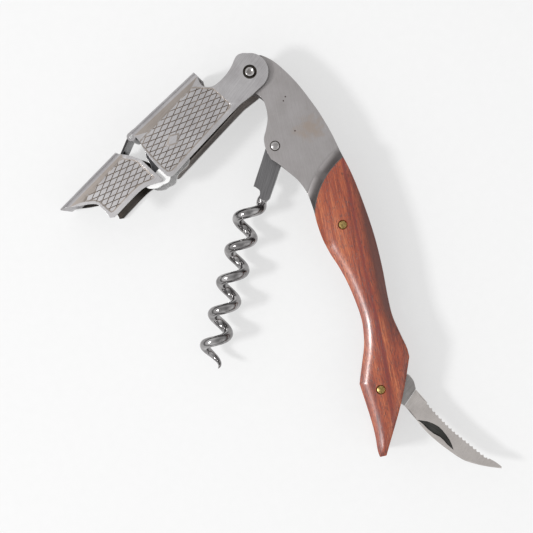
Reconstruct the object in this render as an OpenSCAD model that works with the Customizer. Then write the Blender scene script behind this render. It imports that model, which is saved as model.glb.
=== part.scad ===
// Double-stage lever corkscrew, lying on its side.
// Origin: on the resting face, under the middle of the handle.
// +Y runs from the pointed tail to the lever pivot, +X to the knife side, +Z up off the resting face.
// All lengths are in millimetres.

/* [Overall] */
// Thickness over both wooden scales
body_t = 15; // [14.5:0.1:16]
// Clear slot between the two steel plates, in which the worm and the knife fold
slot_w = 8.8; // [8.8:0.1:9.2]
// Thickness of each steel plate
plate_t = 1.15; // [0.9:0.05:1.3]

/* [Handle] */
// Radius of the rounded top of the plates, round the lever pivot
head_r = 5.1; // [4.8:0.1:5.2]
// Radius of the curved joint between the steel and the wood
joint_r = 22; // [21.5:0.1:22.5]
// Width of the sloping bolster that rises from the plate to the wood
bolster_w = 3; // [2:0.1:3.1]
// Width of the spacer along the back of the slot
spacer_w = 3.2; // [2.5:0.1:3.6]

/* [Pins] */
// Shoulder radius of the lever pivot pin
lever_pin_r = 1.9; // [1.7:0.05:2.1]
// Radius of the raised button on the lever pivot pin
lever_button_r = 1.4; // [1.2:0.05:1.5]
// Shank radius of the worm pivot pin
worm_pin_r = 1.05; // [0.9:0.05:1.2]
// Head radius of the worm pivot pin
worm_head_r = 1.45; // [1.3:0.05:1.6]
// Radius of the brass pins through the wood
brass_pin_r = 1.2; // [1:0.05:1.4]
// Radius of the knee pin between the two levers
knee_pin_r = 0.5; // [0.4:0.05:0.6]
// Radial running clearance of everything that turns on a pin
run_gap = 0.05; // [0.03:0.01:0.08]

/* [Lever] */
// Sheet thickness of the lever channels
sheet_t = 1.1; // [0.9:0.05:1.2]
// Clear width inside the lever channels
lever_in_w = 12.4; // [12.3:0.05:12.5]
// Outside bend radius between a lever's web and its cheeks
bend_r = 2.2; // [1.5:0.1:2.5]
// Radius of the lever head round its pivot
lever_head_r = 5.15; // [5:0.05:5.3]
// Width of the hinge leaf that joins the two levers
leaf_w = 8.6; // [7:0.1:9]
// Thickness of the hinge leaf
leaf_t = 0.7; // [0.6:0.05:0.75]
// Plate thickness of the first-step claw
claw_t = 0.5; // [0.4:0.02:0.54]

/* [Worm] */
// Wire diameter of the worm
wire_d = 2.9; // [2.6:0.1:3]
// Outside diameter of the worm
worm_d = 8.5; // [8.2:0.1:8.5]
// Distance from one turn to the next
worm_pitch = 9.3; // [9:0.1:9.6]
// Thickness of the flattened tang
tang_t = 2.4; // [2:0.1:2.8]

/* [Knife] */
// Thickness of the knife tang
knife_tang_t = 2; // [1.8:0.1:2.4]
// Thickness of the blade
blade_t = 1.5; // [1.2:0.1:1.7]

/* [Stored angles] */
// Direction of the upper lever, counterclockwise from +X
lever_dir = 207.9; // [200:0.1:215]
// Direction of the worm, counterclockwise from +X
worm_dir = 236.1; // [234:0.1:240]
// Direction of the knife, counterclockwise from +X
knife_dir = -53; // [-53:0.5:0]

/* [Hidden] */
$fn = 64;
eps = 0.01;
mid_z = body_t / 2;
slot_h = slot_w / 2;
plate_h = slot_h + plate_t;
half_t = body_t / 2;
lever_in_h = lever_in_w / 2;
lever_out_h = lever_in_h + sheet_t;

lever_pivot = [-9.85, 60.25];
worm_pivot = [-10.1, 38.8];
knife_pivot = [-4.6, -34.5];
scale_pin_at = [0.45, 11.9];
joint_centre = [14.5, 8.9];

// Radii of the loose washers, bushes and sleeve on the pins
washer_r = 3.4;
bush_r = 2.6;
sleeve_r = 3;

// Knee axis, in the levers' own frame (x along the open edge, y away from the web)
knee = [35.6, -12.45];
knuckle_r = 1.25;
knuckle_gap = 0.15;
knee_inset = 0.4;

// ---------------------------------------------------------------- curves

// Point at angle a and distance r from c
function polar(c, r, a) = c + r * [cos(a), sin(a)];

// Round stretch from angle a0 to a1
function arc(c, r, a0, a1, n = 16) = [for (i = [0:n]) polar(c, r, a0 + (a1 - a0) * i / n)];

// One span of a Catmull-Rom curve
function span(a, b, c, d, t) =
    (2 * b + (c - a) * t + (2 * a - 5 * b + 4 * c - d) * t * t + (3 * b - a - 3 * c + d) * t * t * t) / 2;

// Smooth curve through all the points of p
function smooth(p, n = 6) = concat(
    [for (i = [0:len(p) - 2], k = [0:n - 1])
        span(p[max(i - 1, 0)], p[i], p[i + 1], p[min(i + 2, len(p) - 1)], k / n)],
    [p[len(p) - 1]]);

// Back edge of the handle, from the head to the widest point above the tail
back_edge = smooth([polar(lever_pivot, head_r, 52), [-5, 63.4], [-2.6, 60.8], [-0.5, 57.2], [1.4, 53.1],
    [3.1, 48.2], [4.6, 43], [5.8, 37], [6.5, 31], [7.4, 24.5], [7.8, 16], [7.7, 6.5], [6.9, -2.5],
    [5.7, -10.5], [5.1, -16.5], [5.5, -22], [6, -26.3]]);
// Tapering tail, from the back corner to its blunt tip and up to the front corner
tail_edge = concat(smooth([[5.8, -28.5], [2.5, -34.7], [-1.4, -41.2], [-7.4, -49.8], [-9.2, -52.4]]),
    smooth([[-11, -52.2], [-11, -50.2], [-10.3, -46], [-9.9, -40.7], [-9.7, -31.2]]));
// Front edge of the handle, from the tail up to the corner by the worm
front_edge = smooth([[-9.7, -31.2], [-7.2, -26.2], [-5.2, -22], [-4.1, -18.6], [-3.3, -14.7], [-3.2, -9.7],
    [-3.6, -3.7], [-4.4, 1.2], [-5.5, 5.7], [-6.1, 10.2], [-6.1, 14.8], [-5.8, 18.5], [-6, 23.5],
    [-7, 27.1], [-8.4, 29.9], [-10.6, 33.4], [-12.4, 35.8]]);
// Concave neck, from the corner by the worm up to the rounded head
neck_edge = smooth([[-12.4, 35.8], [-12.8, 38.8], [-12.4, 41.6], [-11, 43.9], [-9.6, 46.5], [-9, 49.3],
    [-9.1, 52], [-10.4, 54.4], [-12.4, 55.9], polar(lever_pivot, head_r, 205)]);
body_outline = concat(back_edge, tail_edge, front_edge, neck_edge, arc(lever_pivot, head_r, 205, 52, 20));

// ---------------------------------------------------------------- shared shapes

// Children drawn in 2D, extruded between two heights measured from the mid-plane
module slab(h0, h1) {
    translate([0, 0, mid_z + h0]) linear_extrude(h1 - h0) children();
}

// Disc or tube round a point, between two heights measured from the mid-plane
module ring(at, r_out, h0, h1, r_in = 0) {
    translate([at.x, at.y, mid_z + h0]) difference() {
        cylinder(h = h1 - h0, r = r_out);
        if (r_in > 0) translate([0, 0, -1]) cylinder(h = h1 - h0 + 2, r = r_in);
    }
}

// Through hole
module bore(at, r) {
    ring(at, r, -half_t - 2, half_t + 2);
}

// Children and their copy on the other side of the mid-plane
module both_sides() {
    children();
    translate([0, 0, 2 * mid_z]) mirror([0, 0, 1]) children();
}

// Places the children that are for the other side of the mid-plane
module other_side() {
    translate([0, 0, 2 * mid_z]) mirror([0, 0, 1]) children();
}

// Frames of the moving pieces
module at_lever() {
    translate([lever_pivot.x, lever_pivot.y, 0]) rotate([0, 0, lever_dir]) children();
}
module at_worm() {
    translate([worm_pivot.x, worm_pivot.y, 0]) rotate([0, 0, worm_dir]) children();
}
module at_knife() {
    translate([knife_pivot.x, knife_pivot.y, 0]) rotate([0, 0, knife_dir]) children();
}

// ---------------------------------------------------------------- handle

// Everything inside the joint's circle and everything below it is wood
module wood_region() {
    ring(joint_centre, joint_r, plate_h, half_t);
    slab(plate_h, half_t) translate([-30, -60]) square([60, 68]);
}

// Steel left at the top of the bolster's slope
bolster_lip = 0.2;

module plate_with_bolster() {
    difference() {
        union() {
            slab(slot_h, plate_h) polygon(body_outline);
            intersection() {
                slab(plate_h - eps, half_t) polygon(body_outline);
                translate([joint_centre.x, joint_centre.y, mid_z + plate_h - eps])
                    cylinder(h = half_t - plate_h + eps, r1 = joint_r + bolster_w, r2 = joint_r + bolster_lip,
                        $fn = 128);
                slab(plate_h - eps, half_t) translate([-30, 12]) square([60, 40]);
            }
        }
        ring(joint_centre, joint_r, plate_h, half_t + 1);
        bore(lever_pivot, lever_pin_r);
        bore(worm_pivot, worm_pin_r);
        bore(scale_pin_at, brass_pin_r);
        bore(knife_pivot, brass_pin_r);
        for (d = dowels) bore(d, dowel_r);
    }
}

module scale_slab() {
    difference() {
        intersection() {
            slab(plate_h, half_t) polygon(body_outline);
            wood_region();
        }
        bore(scale_pin_at, brass_pin_r);
        bore(knife_pivot, brass_pin_r);
    }
}

module front_plate() color("lightsteelblue") plate_with_bolster();
module back_plate() color("lightsteelblue") other_side() plate_with_bolster();
module front_scale() color("sienna") scale_slab();
module back_scale() color("sienna") other_side() scale_slab();

// Steel strip that closes the back of the slot above the knife
dowel_r = 0.7;
dowels = [[-2.6, 57.2], [4, 38.5], [5.9, 19]];

module spine_spacer() color("silver") difference() {
    slab(-slot_h, slot_h) intersection() {
        polygon(body_outline);
        translate([-8, 13]) square([30, 47]);
    }
    translate([-spacer_w, -0.8, 0]) slab(-slot_h - 1, slot_h + 1) polygon(body_outline);
    for (d = dowels) bore(d, dowel_r);
}

// Three dowels through the plates and the spacer, ground flush
module spacer_dowels() color("silver") for (d = dowels) ring(d, dowel_r, -plate_h, plate_h);

// Filler between the plates in the point of the tail, on which the open knife stops
module tail_spacer() color("silver") slab(-slot_h, slot_h) intersection() {
    polygon(body_outline);
    polygon([[-20, -60], [0, -60], [-4.6, -46.5], [-7.4, -42.4], [-20, -41]]);
}

module scale_pin() color("goldenrod") ring(scale_pin_at, brass_pin_r, -half_t, half_t);
module knife_pivot_pin() color("goldenrod") ring(knife_pivot, brass_pin_r, -half_t, half_t);

// ---------------------------------------------------------------- lever pivot and worm pivot

module lever_pivot_pin() color("silver") {
    shoulder_h = lever_in_h + 0.45;
    ring(lever_pivot, lever_pin_r, -shoulder_h, shoulder_h);
    both_sides() ring(lever_pivot, lever_button_r, shoulder_h - eps, half_t);
}

module lever_pivot_sleeve() color("gray") ring(lever_pivot, sleeve_r, -slot_h, slot_h, lever_pin_r);

module lever_washer() ring(lever_pivot, washer_r, plate_h, lever_in_h - run_gap, lever_pin_r);
module lever_washer_front() color("gray") lever_washer();
module lever_washer_back() color("gray") other_side() lever_washer();

// Pin with a low domed head on each side
module worm_pivot_pin() color("silver") {
    dome_h = lever_in_h - plate_h - 0.15;
    sphere_r = (worm_head_r * worm_head_r + dome_h * dome_h) / (2 * dome_h);
    ring(worm_pivot, worm_pin_r, -plate_h - eps, plate_h + eps);
    both_sides() intersection() {
        translate([worm_pivot.x, worm_pivot.y, mid_z + plate_h + dome_h - sphere_r]) sphere(r = sphere_r);
        ring(worm_pivot, worm_head_r, plate_h, plate_h + dome_h + 1);
    }
}

module worm_bush() ring(worm_pivot, bush_r, tang_t / 2 + run_gap, slot_h, worm_pin_r);
module worm_bush_front() color("gray") worm_bush();
module worm_bush_back() color("gray") other_side() worm_bush();

// ---------------------------------------------------------------- worm

// Helix axis and start, in the worm's own frame (x away from its pivot)
helix_y = -2.85;
helix_x0 = 17.5;
helix_turns = 5.05;
helix_r = (worm_d - wire_d) / 2;
wire_sides = 10;
steps_per_turn = 20;
shank_x = 11.4;
shank_y = 0.4;
// The straight shank turns into the helix between these two angles
blend_from = -144;
blend_to = 54;

function helix_x(a) = helix_x0 + worm_pitch * a / 360;
function ease(t) = t * t * (3 - 2 * t);
function blend(a) = ease(min(1, max(0, (a - blend_from) / (blend_to - blend_from))));

// Centre line: a straight shank that eases into a right-handed helix
function wire_point(a) = [helix_x(a), (1 - blend(a)) * shank_y + blend(a) * (helix_y + helix_r * cos(a)),
    blend(a) * helix_r * sin(a)];
wire_angles = [for (a = [blend_from:360 / steps_per_turn:helix_turns * 360]) a];
wire_path = concat([[shank_x, shank_y, 0]], [for (a = wire_angles) wire_point(a)]);

// The wire thins to a point over the last half turn
function wire_r(i, n) = let (left = n - 1 - i, fade = steps_per_turn * 0.6)
    left >= fade ? wire_d / 2 : max(0.18, wire_d / 2 * sqrt(left / fade));

function unit(v) = v / norm(v);
// Cross-section at p, square to dir, with its first point on the side away from the helix axis
function wire_ring(p, dir, a, r) =
    let (out = [0, cos(a), sin(a)], side = unit(out - (out * dir) * dir), up = cross(side, dir))
    [for (k = [0:wire_sides - 1]) let (t = 360 * k / wire_sides) p + r * (side * cos(t) + up * sin(t))];

module wire() {
    n = len(wire_path);
    rings = [for (i = [0:n - 1])
        wire_ring(wire_path[i], unit(wire_path[min(i + 1, n - 1)] - wire_path[max(i - 1, 0)]),
            wire_angles[max(i - 1, 0)], wire_r(i, n))];
    points = [for (r = rings) each r];
    sides = [for (i = [0:n - 2], k = [0:wire_sides - 1])
        let (a = i * wire_sides + k, b = i * wire_sides + (k + 1) % wire_sides)
        each [[a, b, b + wire_sides], [a, b + wire_sides, a + wire_sides]]];
    ends = [[for (k = [wire_sides - 1:-1:0]) k], [for (k = [0:wire_sides - 1]) (n - 1) * wire_sides + k]];
    translate([0, 0, mid_z]) polyhedron(points, concat(sides, ends), convexity = 20);
}

tang_outline = concat(arc([0, 0], 2.85, 105, 255, 20),
    smooth([[4.4, -2.95], [11.6, -3.4], [12.2, -3.1], [12.7, -1.8], [13.2, -1.3]]),
    [[14.4, -1], [14.4, 1.75]], smooth([[10.2, 2.1], [4.4, 2.5]]));

module worm() color("dimgray") at_worm() {
    difference() {
        slab(-tang_t / 2, tang_t / 2) polygon(tang_outline);
        bore([0, 0], worm_pin_r + run_gap);
    }
    wire();
}

// ---------------------------------------------------------------- knife

step_x = 8.5;
tang_profile = smooth([[step_x, -0.7], [7.2, -0.8], [3.6, -2.6], [0, -3.9], [-3, -3], [-4.2, 0], [-3, 3.2],
    [0, 4.9], [2.6, 6.6], [4.4, 7.2], [5.6, 7.1], [7, 6.5], [step_x, 5.1]]);
blade_spine = smooth([[step_x - 0.1, -0.65], [12.3, -1.75], [17.3, -3.2], [22, -3.9], [26.3, -4.15],
    [29.5, -4.15], [32, -3.75], [36.3, -2.25], [40, -0.5]]);
blade_edge = smooth([[40.5, 0.35], [38.4, 0.45], [35.3, 0.25], [31.3, 0.55], [27.3, 0.95], [23.3, 1.35],
    [17.3, 2.6], [13.3, 3.65], [step_x - 0.1, 4.9]]);
blade_tip = [40.8, -0.05];

module knife() color("gainsboro") at_knife() difference() {
    union() {
        slab(-knife_tang_t / 2, knife_tang_t / 2) polygon(tang_profile);
        slab(-blade_t / 2, blade_t / 2) polygon(concat(blade_spine, [blade_tip], blade_edge));
    }
    bore([0, 0], brass_pin_r + run_gap);
}

module knife_bush() ring(knife_pivot, bush_r, knife_tang_t / 2 + run_gap, slot_h, brass_pin_r);
module knife_bush_front() color("gray") knife_bush();
module knife_bush_back() color("gray") other_side() knife_bush();

// ---------------------------------------------------------------- levers

// Solid block with the outside shape of a channel: web at y = 0, open towards +y
module channel_block(half_w, r, deep, long) {
    rotate([90, 0, 90]) linear_extrude(long) translate([0, mid_z]) {
        translate([r, -half_w]) square([deep - r, 2 * half_w]);
        translate([0, r - half_w]) square([r + eps, 2 * (half_w - r)]);
        for (s = [-1, 1]) translate([r, s * (half_w - r)]) circle(r = r);
    }
}

// Bent-sheet channel: its outside, less its inside
module channel(half_in, t, r, deep, long) {
    difference() {
        channel_block(half_in + t, r, deep, long);
        translate([-1, t, 0]) channel_block(half_in, r - t, deep, long + 2);
    }
}

// Frames of the two webs, which run at a slight slope to the open edges
web_start = [10.65, -11.78];
web_slope = -4.4;
module at_web() {
    translate([web_start.x, web_start.y, 0]) rotate([0, 0, web_slope]) children();
}

low_web_start = [42.25, -12.85];
low_web_slope = -1.9;
module at_low_web() {
    translate([low_web_start.x, low_web_start.y, 0]) rotate([0, 0, low_web_slope]) children();
}

// Point at distance x along the lower lever's web and height h above its outside
function on_low_web(x, h) = low_web_start
    + [x * cos(low_web_slope) - h * sin(low_web_slope), x * sin(low_web_slope) + h * cos(low_web_slope)];

// Where the upper lever's web stops, and where the cut for the hinge leaf starts
web_end = 34.75;
leaf_cut_x = knee.x - knuckle_r - 0.3;

upper_outline = concat(arc([0, 0], lever_head_r, 84, 230, 22),
    smooth([[-2.5, -4.9], [-1.4, -5.55], [-0.1, -5.6], [2.25, -4.8], [4.25, -4.4], [6.2, -4.3], [8.3, -4.45],
        [10, -4.95], [11.3, -6.2], [11.7, -7.5], [11.35, -9.1], [web_start.x, -10.2]]),
    [[web_start.x, -16], [web_end, -16]],
    smooth([[web_end, -12.3], [34.85, -9.85], [35.45, -7.85], [36.05, -5.85], [36.5, -2.85], [36.75, 0.2]]),
    arc([35.3, 2.2], 1.45, 0, 90, 6),
    smooth([[24, 3.75], [10.25, 3.95], [7.2, 4.25], [4.2, 4.75], polar([0, 0], lever_head_r, 84)]));

// Curled knuckle at the end of the web, with the strip of web that carries it
module knuckle() {
    low = leaf_w / 2 + knuckle_gap;
    high = lever_in_h - knee_inset;
    ring(knee, knuckle_r, low, high);
    slab(low, high) polygon([[33.7, -13.5], knee + [0, -knuckle_r], knee + [0, 0.4], [33.7, -12.4]]);
}

module upper_lever() color("silver") at_lever() difference() {
    union() {
        difference() {
            intersection() {
                slab(-lever_out_h, lever_out_h) polygon(upper_outline);
                at_web() translate([-40, 0, 0]) channel(lever_in_h, sheet_t, bend_r, 30, 90);
            }
            slab(-leaf_w / 2 - knuckle_gap, leaf_w / 2 + knuckle_gap)
                translate([leaf_cut_x, -16]) square([4, 6]);
        }
        both_sides() knuckle();
    }
    bore([0, 0], lever_pin_r + run_gap);
    bore(knee, knee_pin_r);
}

// Bright U-shaped claw inside the upper lever, whose lips catch the bottle's rim
claw_arm = concat([[26, -12.9], [33.3, -12.9]],
    smooth([[34.4, -9.6], [35.5, -7.4], [36.9, -5.4], [37.6, -3.2], [38.7, -1.6], [40.6, -0.8], [42.5, -0.5],
        [43, 0.4], [42.5, 1.5], [41, 2.8], [39.3, 3.3], [37.9, 3.9], [36.9, 3.7], [35.8, 3], [34.6, 2.7],
        [30, 2.4], [26, -4]]));

module first_step_claw() color("white") at_lever() intersection() {
    slab(-lever_in_h, lever_in_h) polygon(claw_arm);
    at_web() translate([0, sheet_t, 0])
        channel(lever_in_h - run_gap - claw_t, claw_t, bend_r - sheet_t + 0.1, 30, 50);
}

module knee_pin() color("silver") at_lever()
    ring(knee, knee_pin_r, knee_inset - lever_in_h, lever_in_h - knee_inset);

// Hinge leaf: an eye on the knee pin, a short sloping strap, and a foot inside the lower lever's web
foot_from = 0.2;
foot_to = 9.75;
leaf_rivets_at = [2.75, 7.25];
rivet_r = 0.8;
rivet_head_r = 1.3;
rivet_head_h = 0.4;

leaf_top = sheet_t + leaf_t;
leaf_outline = [knee + [0.4, -1.18], on_low_web(-0.6, sheet_t + 0.1), on_low_web(foot_from, sheet_t),
    on_low_web(foot_to, sheet_t), on_low_web(foot_to, leaf_top), on_low_web(foot_from, leaf_top),
    on_low_web(-0.8, leaf_top), knee + [0.2, -0.44]];

module hinge_leaf() color("silver") at_lever() difference() {
    union() {
        ring(knee, knuckle_r, -leaf_w / 2, leaf_w / 2);
        slab(-leaf_w / 2, leaf_w / 2) polygon(leaf_outline);
    }
    bore(knee, knee_pin_r + run_gap);
    for (x = leaf_rivets_at) rivet_part(x, rivet_r, -1, 3);
}

// Round part of a rivet through the web, at distance x, between two heights above the web's outside
module rivet_part(x, r, h0, h1) {
    at_low_web() translate([x, h0, mid_z]) rotate([-90, 0, 0]) cylinder(h = h1 - h0, r = r);
}

module leaf_rivets() color("silver") at_lever() for (x = leaf_rivets_at) {
    rivet_part(x, rivet_r, 0, leaf_top);
    rivet_part(x, rivet_head_r, leaf_top, leaf_top + rivet_head_h);
}

lower_outline = concat(smooth([[41.9, -12.2], [40.75, -10.65], [39.75, -9.15], [38.7, -6.9], [38.3, -5.6]]),
    smooth([[38.3, 0.2], [38.3, 2.3]]),
    smooth([[39.25, 2.35], [41.25, 1.05], [42.9, 0.2], [44.6, -0.22], [47, -0.4], [51, -0.5], [55.2, -0.55]]),
    smooth([[56.1, -1.3], [55.7, -2.3], [55.6, -4.6], [55.8, -6.4], [57.25, -8.15], [59.75, -10.05],
        [62.5, -12.4], [64, -12.9]]),
    [[64, -16], [41.9, -16]]);

module lower_lever() color("silver") at_lever() difference() {
    intersection() {
        slab(-lever_out_h, lever_out_h) polygon(lower_outline);
        at_low_web() translate([-10, 0, 0]) channel(lever_in_h, sheet_t, bend_r, 30, 40);
    }
    for (x = leaf_rivets_at) rivet_part(x, rivet_r, -1, 3);
}

// ---------------------------------------------------------------- nodes

front_plate();
back_plate();
front_scale();
back_scale();
spine_spacer();
spacer_dowels();
tail_spacer();
scale_pin();
knife_pivot_pin();
lever_pivot_pin();
lever_pivot_sleeve();
lever_washer_front();
lever_washer_back();
worm_pivot_pin();
worm_bush_front();
worm_bush_back();
worm();
knife_bush_front();
knife_bush_back();
knife();
upper_lever();
first_step_claw();
knee_pin();
hinge_leaf();
leaf_rivets();
lower_lever();
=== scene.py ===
"""Double-stage lever corkscrew: the detailed look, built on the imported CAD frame."""
import math

import bmesh
import bpy
from mathutils import Matrix, Vector, noise
from mathutils.geometry import delaunay_2d_cdt
from mathutils.kdtree import KDTree


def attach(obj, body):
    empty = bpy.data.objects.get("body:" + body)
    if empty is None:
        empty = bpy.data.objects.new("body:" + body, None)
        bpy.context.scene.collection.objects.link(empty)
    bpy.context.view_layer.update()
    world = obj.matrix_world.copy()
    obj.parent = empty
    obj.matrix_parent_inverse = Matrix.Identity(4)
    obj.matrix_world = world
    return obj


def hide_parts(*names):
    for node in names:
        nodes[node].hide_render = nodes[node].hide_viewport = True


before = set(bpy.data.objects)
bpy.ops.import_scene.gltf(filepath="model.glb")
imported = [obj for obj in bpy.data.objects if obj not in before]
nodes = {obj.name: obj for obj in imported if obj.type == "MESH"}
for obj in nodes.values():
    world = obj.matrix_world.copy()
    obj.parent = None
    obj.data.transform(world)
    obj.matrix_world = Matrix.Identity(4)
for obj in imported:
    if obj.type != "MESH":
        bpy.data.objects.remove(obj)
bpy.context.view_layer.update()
scene = bpy.context.scene

# Millimetres, as in the CAD model; pieces are scaled to metres when they are made.
MM = 0.001

# Heights: the mid-plane, the wood, the side plates, and the two faces of a lever's cheek
MID_Z = 7.5
BODY_TOP = 15.0
PLATE_TOP = 13.05
CHEEK_TOP = 14.8
CHEEK_INSIDE = 13.7
BODY_HALF = BODY_TOP - MID_Z
PLATE_HALF = PLATE_TOP - MID_Z

# Pins and the curved joint between wood and bolster, and where the moving pieces point, in degrees
LEVER_PIVOT = Vector((-9.85, 60.25))
WORM_PIVOT = Vector((-10.1, 38.8))
KNIFE_PIVOT = Vector((-4.6, -34.5))
SCALE_PIN = Vector((0.45, 11.9))
JOINT_CENTRE = Vector((14.5, 8.9))
JOINT_R = 22.0
LEVER_DIR = 207.9
WORM_DIR = 236.1
KNIFE_DIR = -53.0
BRASS_R = 1.2


# ---------------- small maths

SAMPLE_STEP = 0.1
HEX_ROWS = 0.866


def clamp(value, low=0.0, high=1.0):
    return max(low, min(high, value))


def ease(value):
    """0 to 1 with a soft start and end"""
    t = clamp(value)
    return t * t * (3 - 2 * t)


def placed(at, turn):
    """From a moving piece's own frame to the row frame"""
    return Matrix.Translation((at.x, at.y, 0)) @ Matrix.Rotation(math.radians(turn), 4, "Z")


AT_LEVER = placed(LEVER_PIVOT, LEVER_DIR)
AT_WORM = placed(WORM_PIVOT, WORM_DIR)
AT_KNIFE = placed(KNIFE_PIVOT, KNIFE_DIR)
ACROSS_LEVER = AT_LEVER.to_3x3() @ Vector((0, 1, 0))


def to_row(matrix, points):
    """Points of a moving piece's own frame, in the row frame"""
    return [(matrix @ Vector((x, y, 0))).to_2d() for x, y in points]


def circle(centre, radius, count):
    steps = (math.tau * i / count for i in range(count))
    return [centre + radius * Vector((math.cos(a), math.sin(a))) for a in steps]


def loop_edges(first, count):
    return [(first + i, first + (i + 1) % count) for i in range(count)]


def inside(point, loops):
    """Even-odd test against closed loops"""
    x, y = point
    odd = False
    for loop in loops:
        ax, ay = loop[-1]
        for bx, by in loop:
            if (ay > y) != (by > y) and x < (bx - ax) * (y - ay) / (by - ay) + ax:
                odd = not odd
            ax, ay = bx, by
    return odd


class Nearest:
    """Distance from a point to chains of straight lines, which are sampled at a fine step"""

    def __init__(self, chains):
        samples = []
        for chain in chains:
            for a, b in zip(chain, chain[1:]):
                count = max(1, int((b - a).length / SAMPLE_STEP))
                samples += [a.lerp(b, i / count) for i in range(count + 1)]
        self.tree = KDTree(len(samples))
        for i, s in enumerate(samples):
            self.tree.insert((s.x, s.y, 0), i)
        self.tree.balance()

    def __call__(self, point):
        return self.tree.find((point[0], point[1], 0))[2]


def closed(loop):
    return list(loop) + [loop[0]]


def winding(loop):
    """1 for an anticlockwise loop and -1 for a clockwise one"""
    return 1 if sum(a.cross(b) for a, b in zip(loop, closed(loop)[1:])) > 0 else -1


# ---------------- meshes

def merge_flat(bm):
    """Makes every flat face whole"""
    bmesh.ops.dissolve_limit(bm, angle_limit=math.radians(0.5), verts=bm.verts, edges=bm.edges)


def cad_copy(node):
    """Welded copy of a CAD node in millimetres, with its flat faces made whole"""
    bm = bmesh.new()
    bm.from_mesh(nodes[node].data)
    bmesh.ops.scale(bm, vec=(1 / MM, 1 / MM, 1 / MM), verts=bm.verts)
    bmesh.ops.remove_doubles(bm, verts=bm.verts, dist=0.003)
    bmesh.ops.dissolve_degenerate(bm, dist=0.002, edges=bm.edges)
    merge_flat(bm)
    return bm


def round_edges(bm, width, segments=2, angle=32):
    """Small rounding on every sharp edge"""
    limit = math.radians(angle)
    sharp = [e for e in bm.edges if e.is_manifold and abs(e.calc_face_angle(0)) > limit]
    bmesh.ops.bevel(bm, geom=sharp, offset=width, segments=segments, profile=0.5,
                    affect="EDGES", clamp_overlap=True)


def rims_at(bm, height, up):
    """Flat faces at a height and their closed rims, longest first, found in the mesh's own order"""
    flat = dict.fromkeys(f for f in bm.faces if f.normal.z * up > 0.99
                         and abs(f.calc_center_median().z - height) < 0.03)
    left = dict.fromkeys(e for e in bm.edges if sum(f in flat for f in e.link_faces) == 1)
    rims = []
    while left:
        edge = next(iter(left))
        del left[edge]
        first, here = edge.verts
        rim = [first]
        while here is not first:
            rim.append(here)
            edge = next((e for e in here.link_edges if e in left), None)
            if edge is None:
                break
            del left[edge]
            here = edge.other_vert(here)
        rims.append(rim)
    return flat, sorted(rims, key=len, reverse=True)


def outlines(node, height):
    """Plan outlines of a CAD node's flat top at a height, longest first"""
    source = cad_copy(node)
    loops = [[v.co.to_2d() for v in rim] for rim in rims_at(source, height, 1)[1]]
    source.free()
    return loops


def opened(bm, height, up):
    """Takes the flat faces at a height away and returns the rims that are left"""
    flat, rims = rims_at(bm, height, up)
    bmesh.ops.delete(bm, geom=list(flat), context="FACES")
    return rims


def fill_rims(bm, rims, points, edges, height, up=1, material=None):
    """Fills closed rims with a surface that runs through the given points and edges"""
    rim_verts = [v for rim in rims for v in rim]
    loops = [[v.co.to_2d() for v in rim] for rim in rims]
    coords = [v.co.to_2d() for v in rim_verts]
    lines = []
    for rim in rims:
        lines += loop_edges(len(lines), len(rim))
    shift = len(coords)
    coords += [Vector(p) for p in points]
    lines += [(a + shift, b + shift) for a, b in edges]
    out, _, faces, origin, _, _ = delaunay_2d_cdt(coords, lines, [], 0, 1e-4)
    verts = []
    for co, source in zip(out, origin):
        rim_vert = next((rim_verts[i] for i in source if i < shift), None)
        verts.append(rim_vert or bm.verts.new((co.x, co.y, height(co))))
    for face in faces:
        centre = sum((out[i] for i in face), Vector((0, 0))) / len(face)
        if not inside(centre, loops):
            continue
        corners = [verts[i] for i in face]
        if up < 0:
            corners.reverse()
        if len(set(corners)) < 3 or bm.faces.get(corners):
            continue
        made = bm.faces.new(corners)
        if material:
            made.material_index = material(made)
    for v in [v for v in verts if not v.link_faces]:
        bm.verts.remove(v)


def rows_inside(loop, distances, spacing):
    """Points inside a loop in rows at the given distances from it"""
    ring = closed(loop)
    reach = Nearest([ring])
    turn = winding(loop)
    points = []
    for a, b in zip(ring, ring[1:]):
        span = b - a
        normal = turn * Vector((-span.y, span.x)).normalized()
        count = max(1, round(span.length / spacing))
        for i in range(count):
            foot = a + span * ((i + 0.5) / count)
            points += [foot + normal * d for d in distances if reach(foot + normal * d) > 0.96 * d]
    return points


def hex_grid(loop, spacing, clear):
    """Evenly spread points inside a loop, at least clear away from it"""
    reach = Nearest([closed(loop)])
    xs = [p.x for p in loop]
    ys = [p.y for p in loop]
    points = []
    row = 0
    y = min(ys)
    while y < max(ys):
        x = min(xs) + (spacing / 2 if row % 2 else 0)
        while x < max(xs):
            if inside((x, y), [loop]) and reach((x, y)) > clear:
                points.append(Vector((x, y)))
            x += spacing
        y += spacing * HEX_ROWS
        row += 1
    return points


def slab_between(loops, points, edges, top, bottom, material=None):
    """Closed solid inside loops, with one height function for its top and one for its bottom"""
    bm = bmesh.new()
    upper = [[bm.verts.new((p.x, p.y, top(p))) for p in loop] for loop in loops]
    lower = [[bm.verts.new((p.x, p.y, bottom(p))) for p in loop] for loop in loops]
    for high, low in zip(upper, lower):
        for i in range(len(high)):
            bm.faces.new((low[i - 1], low[i], high[i], high[i - 1]))
    fill_rims(bm, upper, points, edges, top, 1, material)
    fill_rims(bm, lower, points, edges, bottom, -1)
    bmesh.ops.recalc_face_normals(bm, faces=bm.faces)
    return bm


def flat_bar(loops, half):
    """Flat piece about the mid-plane with an outline and a hole"""
    bm = slab_between(loops, [], [], lambda p: MID_Z + half, lambda p: MID_Z - half)
    merge_flat(bm)
    return bm


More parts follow.
